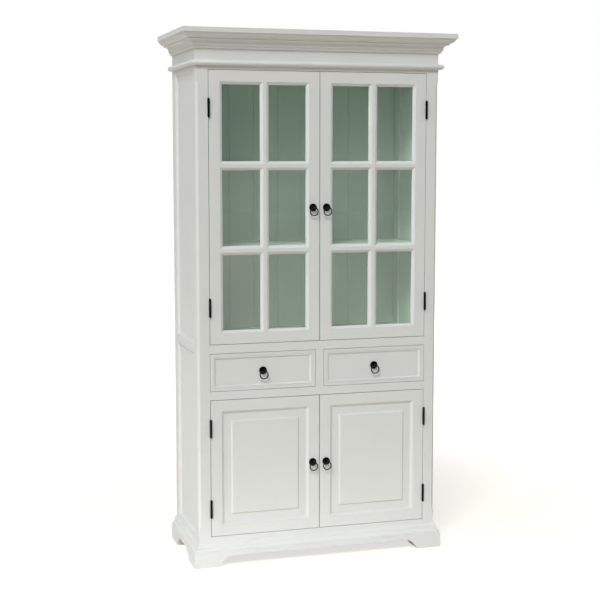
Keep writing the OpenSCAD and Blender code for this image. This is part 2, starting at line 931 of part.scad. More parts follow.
// Raised panel: a thin edge in the grooves, a sloping band on each side and a flat field.
module raised_panel(right) {
    lap = groove_d - play;
    rim_w = inner_w - 2 * (stick_w + play);
    rim_h = lower_inner_h - 2 * (stick_w + play);
    reach = band_w + field_step;
    field_y = stick_d - band_rise - field_step;
    back_y = stick_d + panel_t;
    color(paint)
        placed(right)
            translate([door_x + door_w / 2, 0, lower_pull_z]) {
                translate([-inner_w / 2 - lap, stick_d, -lower_inner_h / 2 - lap])
                    cube([inner_w + 2 * lap, panel_t, lower_inner_h + 2 * lap]);
                translate([-rim_w / 2 + reach, field_y, -rim_h / 2 + reach])
                    cube([rim_w - 2 * reach, back_y - field_y, rim_h - 2 * reach]);
                mitred_ring(rim_w, rim_h, reach)
                    polygon([
                        [0, stick_d], [band_w, stick_d - band_rise], [reach, field_y],
                        [reach, back_y], [0, back_y]
                    ]);
            }
}

// Drawer front: a flat border, a quirked bead and a sunk panel, cut for the pull's bolt.
module drawer_front(right) {
    color(paint)
        placed(right)
            translate([drawer_x, 0, drawer_z])
                difference() {
                    union() {
                        translate([-drawer_w / 2, drawer_sink, -drawer_front_h / 2])
                            cube([drawer_w, face_t - drawer_sink, drawer_front_h]);
                        mitred_ring(drawer_w, drawer_front_h, drawer_border + quirk + drawer_bead_r)
                            drawer_edge_profile();
                    }
                    pull_hole();
                }
}

module drawer_edge_profile() {
    depth = drawer_sink + over;
    square([drawer_border, depth]);
    translate([0, quirk])
        square([drawer_border + 2 * quirk, depth - quirk]);
    intersection() {
        translate([drawer_border + quirk, drawer_bead_r])
            circle(drawer_bead_r);
        translate([drawer_border + quirk, 0])
            square([drawer_bead_r, depth]);
    }
}

// Two sides, a back and a bottom that lies in grooves of the sides.
module drawer_box(right) {
    side_z = drawer_z0 + run_gap;
    slot_z = side_z + drawer_bottom_t;
    slot_d = drawer_side_t / 2;
    back_w = box_w - 2 * drawer_side_t - 2 * glue;
    bottom_w = box_w - 2 * (drawer_side_t - slot_d + play);
    back_z = slot_z + drawer_bottom_t + glue;
    color(bare_wood)
        placed(right)
            translate([drawer_x, face_t, 0]) {
                both([1, 0, 0])
                    difference() {
                        translate([-box_w / 2, 0, side_z])
                            cube([drawer_side_t, drawer_len, drawer_side_h]);
                        translate([-box_w / 2 + drawer_side_t - slot_d, -over, slot_z])
                            cube([slot_d + over, drawer_len + 2 * over, drawer_bottom_t]);
                    }
                translate([-back_w / 2, drawer_len - drawer_side_t, back_z])
                    cube([back_w, drawer_side_t, side_z + drawer_side_h - back_z]);
                translate([-bottom_w / 2, 0, slot_z + glue])
                    cube([bottom_w, drawer_len, drawer_bottom_t - 2 * glue]);
            }
}

// Hole for a pull's bolt, through the face at the origin.
module pull_hole() {
    translate([0, -over, 0])
        rotate([-90, 0, 0])
            cylinder(r = tail_r + knuckle_gap, h = face_t + 2 * over);
}

module door_pull(z, right) {
    color(iron)
        placed(right)
            translate([door_pull_x, 0, z])
                pull(door_t);
}

module drawer_pull(right) {
    color(iron)
        placed(right)
            translate([drawer_x, drawer_sink, drawer_z])
                pull(face_t - drawer_sink);
}

// Rosette, post with its ball and threaded tail, and nut, on a wall whose face is y = 0.
module pull(wall_t) {
    tail_len = wall_t + nut_t + tail_r;
    rotate([90, 0, 0]) {
        rotate_extrude()
            polygon(concat(
                [[post_r + pin_gap, 0], [rosette_r, 0]],
                arc([rosette_r, rosette_t / 3], [post_r + pin_gap, rosette_t], -rosette_t / 6)
            ));
        difference() {
            union() {
                cylinder(r = post_r, h = eye_out);
                translate([0, 0, eye_out])
                    sphere(eye_r);
                translate([0, 0, -tail_len])
                    cylinder(r = tail_r, h = tail_len + over);
            }
            translate([0, 0, eye_out])
                rotate([0, 90, 0])
                    cylinder(r = eye_bore_r, h = 4 * eye_r, center = true);
        }
        translate([0, 0, -wall_t - nut_t])
            difference() {
                cylinder(r = nut_r, h = nut_t, $fn = 6);
                translate([0, 0, -over])
                    cylinder(r = tail_r + pin_gap, h = nut_t + 2 * over);
            }
    }
}

module door_ring(z, right) {
    color(iron)
        placed(right)
            translate([door_pull_x, 0, z])
                ring();
}

module drawer_ring(right) {
    color(iron)
        placed(right)
            translate([drawer_x, drawer_sink, drawer_z])
                ring();
}

// A ring as it hangs from its ball, on a wall whose face is y = 0.
module ring() {
    translate([0, -eye_out, ring_sag / 2 - ring_r])
        rotate([90, 0, 0])
            rotate_extrude()
                translate([ring_r, 0])
                    circle(wire_r);
}

side_frame(false);  // side_frame_left
side_frame(true);  // side_frame_right
side_panels();
face_frame();
back_boards();
display_ceiling();
display_floor();
drawer_deck();
cupboard_floor();
shelves();
shelf_pins();
frieze_boards();
bead_moulding();
crown_moulding();
cornice_cover();
base_moulding();
plinth_boards();
corner_blocks();
drawer_runners();
hinge_frame_leaves();
hinge_pins();
door_catches();

for (right = [false, true]) {
    hand = right ? "right" : "left";
    upper = str("upper_door_", hand);
    lower = str("lower_door_", hand);
    drawer = str("drawer_", hand);
    door_frame(upper_door_z, upper_door_h, upper_hinge_zs, pane_cols, pane_rows, right);
    glazing_bars(right);
    door_glass(right);
    glazing_beads(right);
    door_hinges(upper_hinge_zs, right);
    door_pull(upper_pull_z, right);
    door_strike(ceiling_z, right);
    door_ring(upper_pull_z, right);
    door_frame(lower_door_z, lower_door_h, lower_hinge_zs, 1, 1, right);
    raised_panel(right);
    door_hinges(lower_hinge_zs, right);
    door_pull(lower_pull_z, right);
    door_strike(deck_z, right);
    door_ring(lower_pull_z, right);
    drawer_front(right);
    drawer_box(right);
    drawer_pull(right);
    drawer_ring(right);
}
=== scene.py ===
# %% [markdown]
# # A painted display cabinet
# The cabinet comes in as a finished CAD frame: every board, hinge and pull is already in place, in metres,
# on the body that carries it. This lesson dresses it. It sets up a camera and soft light, gives each finish
# a procedural material, eases the sharp CAD edges as paint does, and adds the small screws.

# %% Load the frame
import json
import math

import bmesh
import bpy
from mathutils import Matrix, Vector


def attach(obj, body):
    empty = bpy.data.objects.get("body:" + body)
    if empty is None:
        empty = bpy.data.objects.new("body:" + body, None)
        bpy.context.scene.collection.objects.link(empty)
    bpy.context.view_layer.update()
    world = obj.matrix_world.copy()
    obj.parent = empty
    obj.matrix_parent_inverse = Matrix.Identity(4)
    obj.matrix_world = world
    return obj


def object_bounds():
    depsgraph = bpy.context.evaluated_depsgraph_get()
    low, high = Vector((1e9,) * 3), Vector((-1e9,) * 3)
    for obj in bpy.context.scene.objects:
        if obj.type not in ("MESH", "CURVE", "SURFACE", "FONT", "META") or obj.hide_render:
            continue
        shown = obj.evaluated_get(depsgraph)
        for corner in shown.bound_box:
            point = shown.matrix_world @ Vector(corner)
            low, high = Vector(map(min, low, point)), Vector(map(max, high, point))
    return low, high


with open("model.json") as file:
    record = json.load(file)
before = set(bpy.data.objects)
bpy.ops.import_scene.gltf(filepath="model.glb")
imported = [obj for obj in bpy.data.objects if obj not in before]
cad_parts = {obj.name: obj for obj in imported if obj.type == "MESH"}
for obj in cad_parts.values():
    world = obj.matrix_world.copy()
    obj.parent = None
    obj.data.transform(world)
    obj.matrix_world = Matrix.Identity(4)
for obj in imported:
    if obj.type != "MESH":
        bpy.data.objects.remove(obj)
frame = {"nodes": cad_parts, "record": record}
cad_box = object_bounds()
nodes = frame["nodes"]
scene = bpy.context.scene
MM = 0.001

# %% [markdown]
# ## Camera
# The camera stands where the photograph was taken from: a little to the left of the cabinet, at eye height,
# with a short telephoto lens that keeps the uprights nearly parallel. Its place is measured from the floor
# under the middle of the cabinet, and it looks right by its yaw and down by its pitch. A Track To
# constraint would be shorter, but two angles say more plainly how the camera was held.

# %% Camera at the photograph's viewing angle
CAMERA_PLACE = Vector((-1.5266, -4.8986, 1.5404))
CAMERA_YAW = math.radians(17.054)
CAMERA_PITCH = math.radians(-6.241)
CAMERA_LENS_MM = 79.0
CAMERA_SENSOR_MM = 36.0

camera_data = bpy.data.cameras.new("camera")
camera_data.lens = CAMERA_LENS_MM
camera_data.sensor_width = CAMERA_SENSOR_MM
camera_data.sensor_fit = "HORIZONTAL"
camera = bpy.data.objects.new("camera", camera_data)
camera.location = CAMERA_PLACE
camera.rotation_euler = (math.pi / 2 + CAMERA_PITCH, 0.0, -CAMERA_YAW)
scene.collection.objects.link(camera)
scene.camera = camera
print("camera", round(CAMERA_PLACE.length, 2), "m from the origin")

# %% [markdown]
# ## Colours and nodes
# Colours are written as sRGB hex values, as a paint chart gives them, and one function turns them to the
# linear values that shaders use. A second function adds one node with its settings and links, so that each
# material reads as a short recipe.

# %% Colour and node helpers
def linear(hex_colour):
    """Linear RGBA of an sRGB hex colour such as "E1E4E3"."""
    channels = [int(hex_colour[i:i + 2], 16) / 255 for i in (0, 2, 4)]
    return [c / 12.92 if c <= 0.04045 else ((c + 0.055) / 1.055) ** 2.4 for c in channels] + [1.0]


def add(tree, kind, inputs=None, **settings):
    """Adds a node. settings are its attributes, and inputs its sockets' values or the sockets to link."""
    node = tree.nodes.new(kind)
    for name, value in settings.items():
        setattr(node, name, value)
    for name, value in (inputs or {}).items():
        if isinstance(value, bpy.types.NodeSocket):
            tree.links.new(value, node.inputs[name])
        else:
            node.inputs[name].default_value = value
    return node


def new_material(name):
    """A material and its node tree, still empty."""
    material = bpy.data.materials.new(name)
    material.use_nodes = True
    material.node_tree.nodes.clear()
    return material, material.node_tree


print("paper white is", linear("FFFFFF"), "and mid grey", round(linear("808080")[0], 3))

# %% [markdown]
# ## Rays
# The photograph has a plain white ground. Brighter lamps would whiten the ground but wash out the paint
# too. So the white is switched on by the kind of ray: the camera, glass and mirror-like surfaces see it,
# and it adds no light to the cabinet.

# %% Rays that see the studio
def seen_rays(tree, mirrored):
    """1 for rays from the camera, and mirrored for rays from mirror-like surfaces and through glass."""
    path = add(tree, "ShaderNodeLightPath")
    both = add(tree, "ShaderNodeMath",
               {0: path.outputs["Is Glossy Ray"], 1: path.outputs["Is Transmission Ray"]},
               operation="MAXIMUM")
    part = add(tree, "ShaderNodeMath", {0: both.outputs[0], 1: mirrored}, operation="MULTIPLY")
    every = add(tree, "ShaderNodeMath", {0: path.outputs["Is Camera Ray"], 1: part.outputs[0]},
                operation="MAXIMUM")
    return every.outputs[0]


print("floor and world tell camera rays from mirrored ones")

# %% [markdown]
# ## Floor
# The floor is a sheet of pale matt paper that takes the cabinet's shadow. A second plane could catch the
# shadow alone, but one sheet with a glow is simpler. The glow grows away from the cabinet and lifts the
# paper to white. Panes and metal mirror it a little more weakly.

# %% Paper
FLOOR_MIRRORED = 0.9
NEAR_LIFT = 0.66
FULL_LIFT = 1.0
NEAR_RADIUS = 1.0
FAR_RADIUS = 3.0

floor_paper, tree = new_material("matt_paper_floor")
matt = add(tree, "ShaderNodeBsdfDiffuse", {"Color": linear("D1C8B8")})
distance = add(tree, "ShaderNodeVectorMath", {0: add(tree, "ShaderNodeTexCoord").outputs["Object"]},
               operation="LENGTH")
growth = add(tree, "ShaderNodeMapRange",
             {"Value": distance.outputs["Value"], "From Min": NEAR_RADIUS, "From Max": FAR_RADIUS,
              "To Min": NEAR_LIFT, "To Max": FULL_LIFT}, interpolation_type="SMOOTHSTEP")
lift = add(tree, "ShaderNodeMath", {0: seen_rays(tree, FLOOR_MIRRORED), 1: growth.outputs["Result"]},
           operation="MULTIPLY")
glow = add(tree, "ShaderNodeEmission", {"Strength": lift.outputs[0]})
both = add(tree, "ShaderNodeAddShader", {0: matt.outputs[0], 1: glow.outputs[0]})
add(tree, "ShaderNodeOutputMaterial", {"Surface": both.outputs[0]})
print("paper", floor_paper.name, "is lifted from", NEAR_LIFT, "to", FULL_LIFT)

# %% [markdown]
# The sheet is a single square face. It reaches so far that its edge lies at the horizon from every side.

# %% Sheet on the floor
FLOOR_HALF = 30.0


def close_mesh(bm, name):
    """Ends a bmesh and returns it as a mesh."""
    mesh = bpy.data.meshes.new(name)
    bm.to_mesh(mesh)
    bm.free()
    return mesh


bm = bmesh.new()
bmesh.ops.create_grid(bm, x_segments=1, y_segments=1, size=FLOOR_HALF)
floor = bpy.data.objects.new("floor", close_mesh(bm, "floor"))
floor.data.materials.append(floor_paper)
scene.collection.objects.link(floor)
print("floor", 2 * FLOOR_HALF, "m across")

# %% [markdown]
# ## Studio
# The world shows the camera plain white. The panes mirror it as a studio: bright paper low down and behind
# the cabinet, and a dim room above. The horizon between the two tilts, so the room reaches lower at the
# left, which leaves the upper left panes darkest. A picture of a room would do this too, but a few nodes
# keep it soft.

# %% World
SKY_LEVEL = 0.02
WHITE_LEVEL = 1.0
DIM_IN_FRONT = -0.3
BRIGHT_BEHIND = 0.3
HORIZON_UP = (-0.3, 0.0, 1.0)
DIM_ABOVE = -0.03
BRIGHT_BELOW = -0.13

world = bpy.data.worlds.new("studio")
world.use_nodes = True
tree = world.node_tree
tree.nodes.clear()
sky = add(tree, "ShaderNodeBackground", {"Color": linear("F4F6FA"), "Strength": SKY_LEVEL})
white = add(tree, "ShaderNodeBackground", {"Color": linear("FFFFFF"), "Strength": WHITE_LEVEL})
sight = add(tree, "ShaderNodeTexCoord").outputs["Generated"]
direction = add(tree, "ShaderNodeSeparateXYZ", {0: sight})
behind = add(tree, "ShaderNodeMapRange",
             {"Value": direction.outputs["Y"], "From Min": DIM_IN_FRONT, "From Max": BRIGHT_BEHIND},
             interpolation_type="SMOOTHSTEP")
rise = add(tree, "ShaderNodeVectorMath", {0: sight, 1: HORIZON_UP}, operation="DOT_PRODUCT")
low = add(tree, "ShaderNodeMapRange",
          {"Value": rise.outputs["Value"], "From Min": DIM_ABOVE, "From Max": BRIGHT_BELOW},
          interpolation_type="SMOOTHSTEP")
bright = add(tree, "ShaderNodeMath", {0: behind.outputs[0], 1: low.outputs[0]}, operation="MAXIMUM")
blend = add(tree, "ShaderNodeMixShader",
            {0: seen_rays(tree, bright.outputs[0]), 1: sky.outputs[0], 2: white.outputs[0]})
add(tree, "ShaderNodeOutputWorld", {"Surface": blend.outputs[0]})
scene.world = world
scene.view_settings.view_transform = "Standard"
print("sky level", SKY_LEVEL)

# %% [markdown]
# ## Lamps
# The front and the left side are almost equally bright from the cornice to the waist, so the main lights
# are two large, far skylights, one for each face. A weak lamp opens the shade at the right, and another
# lights the back for views from behind. The base is a little brighter than the rest, as white paper on the
# floor throws light up at it, and low strips stand for that paper.

# %% Soft lamps
def soft_lamp(name, place, aim, size, watts):
    """A rectangular lamp at place that faces aim. size is its width and height."""
    data = bpy.data.lights.new(name, "AREA")
    data.shape = "RECTANGLE"
    data.size, data.size_y = size
    data.energy = watts
    lamp = bpy.data.objects.new(name, data)
    lamp.location = place
    lamp.rotation_euler = (Vector(aim) - Vector(place)).to_track_quat("-Z", "Y").to_euler()
    scene.collection.objects.link(lamp)


MIDDLE = (0.0, 0.0, 0.95)
soft_lamp("front_skylight", (-7.0, -11.4, 12.5), MIDDLE, size=(6.0, 6.0), watts=1970)
soft_lamp("left_skylight", (-14.0, -4.0, 11.0), MIDDLE, size=(9.0, 9.0), watts=680)
soft_lamp("right_lamp", (4.2, -1.7, 2.4), MIDDLE, size=(2.0, 2.0), watts=28)
soft_lamp("back_lamp", (2.5, 7.0, 4.0), MIDDLE, size=(4.0, 4.0), watts=150)
soft_lamp("front_strip", (-0.4, -1.3, 0.15), (-0.2, -0.25, 0.05), size=(2.6, 0.25), watts=2.4)
soft_lamp("left_strip", (-1.7, -0.1, 0.15), (-0.5, 0.0, 0.05), size=(1.2, 0.25), watts=3.2)
soft_lamp("foot_strip", (-0.1, -0.5, 0.035), (-0.05, -0.2, 0.03), size=(1.8, 0.05), watts=0.75)

# %% [markdown]
# ## Paint
# The outside is wood under a sprayed satin enamel. It shows an even off-white, a faint unevenness where the
# coat is thicker, a soft broken gloss and the slight orange peel of a spray gun. Real orange peel is about
# 1 mm across, too fine for this view, so it is drawn at 6 mm. The inside has a matt grey-green, thinner
# coat. One recipe makes both, and where a finish changes across the cabinet, it is handed a function that
# works over the colour.

# %% Recipe for painted wood
GLOSS_SPREAD = 0.06
PEEL_STRENGTH = 0.35
PAINT_IOR = 1.5


def painted_wood(name, coat, thin_coat, roughness, cloud_mm, peel_mm, peel_depth_mm, recolour=None):
    """Sprayed paint on wood. coat and thin_coat are the colours of its thick and thin places."""
    material, tree = new_material(name)
    place = add(tree, "ShaderNodeTexCoord").outputs["Object"]
    cloud = add(tree, "ShaderNodeTexNoise",
                {"Vector": place, "Scale": 1 / (cloud_mm * MM), "Detail": 3.0, "Roughness": 0.5})
    colour = add(tree, "ShaderNodeMix",
                 {"Factor": cloud.outputs["Fac"], "A": linear(thin_coat), "B": linear(coat)},
                 data_type="RGBA").outputs["Result"]
    if recolour:
        colour = recolour(tree, place, colour)
    peel = add(tree, "ShaderNodeTexNoise",
               {"Vector": place, "Scale": 1 / (peel_mm * MM), "Detail": 2.0, "Roughness": 0.6})
    gloss = add(tree, "ShaderNodeMapRange",
                {"Value": peel.outputs["Fac"],
                 "To Min": roughness - GLOSS_SPREAD, "To Max": roughness + GLOSS_SPREAD})
    bump = add(tree, "ShaderNodeBump",
               {"Height": peel.outputs["Fac"], "Strength": PEEL_STRENGTH, "Distance": peel_depth_mm * MM})
    paint = add(tree, "ShaderNodeBsdfPrincipled",
                {"Base Color": colour, "Roughness": gloss.outputs["Result"],
                 "Normal": bump.outputs["Normal"], "IOR": PAINT_IOR})
    add(tree, "ShaderNodeOutputMaterial", {"Surface": paint.outputs[0]})
    return material


print("paint varies in gloss by", GLOSS_SPREAD)

# %% [markdown]
# The side frames and panels are white outside and pale green inside. Two materials would need their faces
# sorted, so one material changes its colour at the middle of the panels' thickness. The green is a little
# lighter than the inside paint. That is painted light, which makes up for the shade on the inner side walls.

# %% Lined sides
LINED_TO_MM = 463.0
# Lighter than the inside paint: painted light that stands in for the light the inner side walls miss.
LIGHTENED_LINING = "D8E4D9"


def lined(tree, place, outside):
    """The lining's colour on the inner side of the side panels, and outside on the outer side.
    The lining is lighter than the inside paint: painted light for the shade that the inner walls get.
    """
    across = add(tree, "ShaderNodeSeparateXYZ", {0: place})
    reach = add(tree, "ShaderNodeMath", {0: across.outputs["X"]}, operation="ABSOLUTE")
    inner = add(tree, "ShaderNodeMath", {0: reach.outputs[0], 1: LINED_TO_MM * MM}, operation="LESS_THAN")
    colour = add(tree, "ShaderNodeMix", {"Factor": inner.outputs[0], "A": outside, "B": linear(LIGHTENED_LINING)},
                 data_type="RGBA")
    return colour.outputs["Result"]


print("sides are lined to", LINED_TO_MM, "mm from the middle")

# %% [markdown]
# Each back board takes the coat a little differently, so a random number for each board picks its tone. At
# the rear the boards meet in joints of about 1 mm. Those are too fine for this view, so they are drawn 3 mm
# wide.

# %% Back boards
BACK_HALF_MM = 453.0
BOARD_COUNT = 9
BOARD_MM = 2 * BACK_HALF_MM / BOARD_COUNT
HALF_BOARD = 0.5
JOINT_MM = 3.0
REAR_SKIN_MM = 0.5
BOARD_COAT = "CAD8CC"
BOARD_THIN_COAT = "BECFC2"
JOINT_SHADE = "7E9084"
back_y = cad_box[1][1]


def boarded(tree, place, coat):
    """Gives each board its own tone, and draws the joints on the rear face. The middle board is at X = 0."""
    across = add(tree, "ShaderNodeSeparateXYZ", {0: place})
    # X in board widths, with a whole number at each joint.
    boards = add(tree, "ShaderNodeMath",
                 {0: across.outputs["X"], 1: 1 / (BOARD_MM * MM), 2: HALF_BOARD}, operation="MULTIPLY_ADD")
    number = add(tree, "ShaderNodeMath", {0: boards.outputs[0]}, operation="FLOOR")
    tone = add(tree, "ShaderNodeTexWhiteNoise", {"W": number.outputs[0]}, noise_dimensions="1D")
    toned = add(tree, "ShaderNodeMix",
                {"Factor": tone.outputs["Value"], "A": coat, "B": linear(BOARD_THIN_COAT)}, data_type="RGBA")
    edge = add(tree, "ShaderNodeMath", {0: boards.outputs[0], 1: HALF_BOARD}, operation="PINGPONG")
    joint = add(tree, "ShaderNodeMath", {0: edge.outputs[0], 1: JOINT_MM / BOARD_MM / 2},
                operation="LESS_THAN")
    rear = add(tree, "ShaderNodeMath", {0: across.outputs["Y"], 1: back_y - REAR_SKIN_MM * MM},
               operation="GREATER_THAN")
    line = add(tree, "ShaderNodeMath", {0: joint.outputs[0], 1: rear.outputs[0]}, operation="MULTIPLY")
    colour = add(tree, "ShaderNodeMix",
                 {"Factor": line.outputs[0], "A": toned.outputs["Result"], "B": linear(JOINT_SHADE)},
                 data_type="RGBA")
    return colour.outputs["Result"]


print(BOARD_COUNT, "back boards of", round(BOARD_MM, 1), "mm")

# %% [markdown]
# The recipe now makes four finishes. The white ones are harder and glossier than the green ones, and the
# sides and the back boards are handed their own functions.

# %% Painted finishes
WHITE_COAT, WHITE_THIN_COAT = "E1E4E3", "DCDFDE"
SATIN = {"roughness": 0.5, "cloud_mm": 180, "peel_mm": 6, "peel_depth_mm": 0.25}
MATT = {"roughness": 0.6, "cloud_mm": 140, "peel_mm": 4, "peel_depth_mm": 0.1}

white_paint = painted_wood("satin_enamel_on_wood", WHITE_COAT, WHITE_THIN_COAT, **SATIN)
side_paint = painted_wood("satin_enamel_lined", WHITE_COAT, WHITE_THIN_COAT, recolour=lined, **SATIN)
inside_paint = painted_wood("matt_paint_inside", "C9D7CB", "C1D0C4", **MATT)
board_paint = painted_wood("matt_paint_on_boards", BOARD_COAT, BOARD_THIN_COAT, recolour=boarded, **MATT)
print("paints", white_paint.name, side_paint.name, inside_paint.name, board_paint.name)

# %% [markdown]
# ## Pine
# Drawer boxes, runners and the deck under the drawers are plain planed pine. Its growth rings are cut
# lengthwise, so they show as long streaks a few millimetres apart, darker in the late wood. A wave texture
# would draw them too evenly, so they are a noise that is stretched from front to back.

# %% Planed pine
PINE_GRAIN_STRENGTH = 0.3
PINE_GRAIN_DEPTH_MM = 0.2
PINE_ROUGHNESS = 0.55


def planed_pine(name, early, late, ring_mm, length_mm):
    """Bare wood with streaks from front to back, in the colours of its early and late wood."""
    material, tree = new_material(name)
    place = add(tree, "ShaderNodeTexCoord").outputs["Object"]
    along = add(tree, "ShaderNodeMapping",
                {"Vector": place, "Scale": (1 / (ring_mm * MM), 1 / (length_mm * MM), 1 / (ring_mm * MM))})
    rings = add(tree, "ShaderNodeTexNoise",
                {"Vector": along.outputs[0], "Scale": 1.0, "Detail": 4.0, "Roughness": 0.55,
                 "Distortion": 0.4})
    colour = add(tree, "ShaderNodeMix",
                 {"Factor": rings.outputs["Fac"], "A": linear(late), "B": linear(early)}, data_type="RGBA")
    bump = add(tree, "ShaderNodeBump",
               {"Height": rings.outputs["Fac"], "Strength": PINE_GRAIN_STRENGTH,
                "Distance": PINE_GRAIN_DEPTH_MM * MM})
    wood = add(tree, "ShaderNodeBsdfPrincipled",
               {"Base Color": colour.outputs["Result"], "Roughness": PINE_ROUGHNESS,
                "Normal": bump.outputs["Normal"]})
    add(tree, "ShaderNodeOutputMaterial", {"Surface": wood.outputs[0]})
    return material


bare_wood = planed_pine("planed_pine", early="D9BC8C", late="B98F57", ring_mm=7, length_mm=220)
print("wood", bare_wood.name)

# %% [markdown]
# ## Glass
# The panes are clear float glass, slightly green in its thickness. Light from the lamps has to reach the
# shelves, and a path tracer finds that hard through a refracting pane, so rays towards the lamps pass a
# plain transparent shader instead.

# %% Float glass
GLASS_IOR = 1.5


def float_glass(name, tint):
    """Clear glass that lets the lamps through."""
    material, tree = new_material(name)
    pane = add(tree, "ShaderNodeBsdfPrincipled",
               {"Base Color": linear(tint), "Roughness": 0.0, "IOR": GLASS_IOR, "Transmission Weight": 1.0})
    clear = add(tree, "ShaderNodeBsdfTransparent", {"Color": linear(tint)})
    path = add(tree, "ShaderNodeLightPath")
    glass = add(tree, "ShaderNodeMixShader",
                {0: path.outputs["Is Shadow Ray"], 1: pane.outputs[0], 2: clear.outputs[0]})
    add(tree, "ShaderNodeOutputMaterial", {"Surface": glass.outputs[0]})
    return material


clear_glass = float_glass("float_glass", "F8FCF9")
print("glass", clear_glass.name)

# %% [markdown]
# ## Iron and steel
# Hinges and pulls are iron, blackened and waxed. The black skin hides the metal, so it shades like a dark
# coat with a low, waxy shine, and small lumps break its highlights. Catches, strikes and shelf pins are
# zinc-plated steel, which stays a pale metal. Both are a noise between two colours that also drives
# roughness and bump.

# %% Metals
METAL_GLOSS_SPREAD = 0.1
LUMP_STRENGTH = 0.4


def lumpy_metal(name, low, high, metallic, roughness, shine, lump_mm, lump_depth_mm):
    """A metal's skin, low coloured in the hollows between its lumps and high on top of them."""
    material, tree = new_material(name)
    place = add(tree, "ShaderNodeTexCoord").outputs["Object"]
    lumps = add(tree, "ShaderNodeTexNoise",
                {"Vector": place, "Scale": 1 / (lump_mm * MM), "Detail": 3.0, "Roughness": 0.6})
    colour = add(tree, "ShaderNodeMix",
                 {"Factor": lumps.outputs["Fac"], "A": linear(low), "B": linear(high)}, data_type="RGBA")
    gloss = add(tree, "ShaderNodeMapRange",
                {"Value": lumps.outputs["Fac"],
                 "To Min": roughness - METAL_GLOSS_SPREAD, "To Max": roughness + METAL_GLOSS_SPREAD})
    bump = add(tree, "ShaderNodeBump",
               {"Height": lumps.outputs["Fac"], "Strength": LUMP_STRENGTH, "Distance": lump_depth_mm * MM})
    skin = add(tree, "ShaderNodeBsdfPrincipled",
               {"Base Color": colour.outputs["Result"], "Metallic": metallic,
                "Roughness": gloss.outputs["Result"], "Specular IOR Level": shine,
                "Normal": bump.outputs["Normal"]})
    add(tree, "ShaderNodeOutputMaterial", {"Surface": skin.outputs[0]})
    return material


black_iron = lumpy_metal("blackened_waxed_iron", "020202", "060605", metallic=0.0, roughness=0.24,
                         shine=0.12, lump_mm=3, lump_depth_mm=0.25)
plain_steel = lumpy_metal("zinc_plated_steel", "8F9090", "B4B5B4", metallic=1.0, roughness=0.38,
                          shine=0.5, lump_mm=4, lump_depth_mm=0.05)
print("metals", black_iron.name, plain_steel.name)

# %% [markdown]
# ## Finishes on the frame
# The record says which slot each node takes its finish from, and a few nodes have a paint of their own.

# %% Finish of each slot
finishes = {
    "white_paint": white_paint,
    "inside_paint": inside_paint,
    "bare_wood": bare_wood,
    "float_glass": clear_glass,
    "black_iron": black_iron,
    "plain_steel": plain_steel,
}
own_finishes = {
    "side_frame_left": side_paint,
    "side_frame_right": side_paint,
    "side_panels": side_paint,
    "back_boards": board_paint,
}
print(len(finishes), "slots, and", len(own_finishes), "nodes with their own paint")

# %% [markdown]
# ## Eased edges
# CAD edges are mathematically sharp, but sanding and paint round them by a little under a millimetre, and
# that thin round is what catches the light. Live modifiers do this and leave the CAD meshes as they are:
# the imported triangles are first joined and their flat faces merged, so that the bevel follows the true
# edges only. The rings hang free, so black and wax run down and gather on them, and they take a thick coat.

# %% Easing and coating
EASE_MM = {"white_paint": 0.7, "inside_paint": 0.8, "bare_wood": 0.8}
EASE_SEGMENTS = 2
RING_COAT_MM = 0.25
WELD_MM = 0.001
FLAT_WITHIN = math.radians(0.2)
SHARP_FROM = math.radians(30)


def join_triangles(obj):
    """Joins the imported triangles of a CAD node."""
    weld = obj.modifiers.new("weld", "WELD")
    weld.merge_threshold = WELD_MM * MM


def ease_edges(obj, width_mm):
    """Rounds the sharp edges of a CAD node."""
    join_triangles(obj)
    flat = obj.modifiers.new("flat_faces", "DECIMATE")
    flat.decimate_type = "DISSOLVE"
    flat.angle_limit = FLAT_WITHIN
    round_off = obj.modifiers.new("eased_edges", "BEVEL")
    round_off.width = width_mm * MM
    round_off.segments = EASE_SEGMENTS
    round_off.limit_method = "ANGLE"
    round_off.angle_limit = SHARP_FROM


def thicken(obj, depth_mm):
    """Lays a coat of the given depth on a round CAD node."""
    join_triangles(obj)
    coat = obj.modifiers.new("coat", "DISPLACE")
    coat.strength = depth_mm * MM
    coat.mid_level = 0.0


print("edges eased by", EASE_MM, "mm")

# %% [markdown]
# One loop over the record dresses every node, so a node that is added to the cabinet later needs no new line.

# %% Dress the nodes
subparts = frame["record"]["subparts"]
for part in subparts:
    obj = nodes[part["node"]]
    slot = part["material_slot"]
    obj.data.materials.clear()
    obj.data.materials.append(own_finishes.get(part["node"], finishes[slot]))
    if slot in EASE_MM:
        ease_edges(obj, EASE_MM[slot])
    if part["node"].endswith("_ring"):
        thicken(obj, RING_COAT_MM)
print("dressed", len(subparts), "nodes")

# %% [markdown]
# ## Screws
# The CAD frame stops at the fittings, so their screws are modelled here. A hinge leaf is held by three
# countersunk screws. Their heads are turned, slotted with a saw and driven until they lie flush with the
# leaf, so each is a very thin disc with a slot across it. A boolean could cut the slot, but it is simpler
# to cut the disc in half beside its middle and turn a copy of the half round. A catch hangs from two
# round-headed screws.

# %% One screw head
CUT_DISTANCE = 1e-8


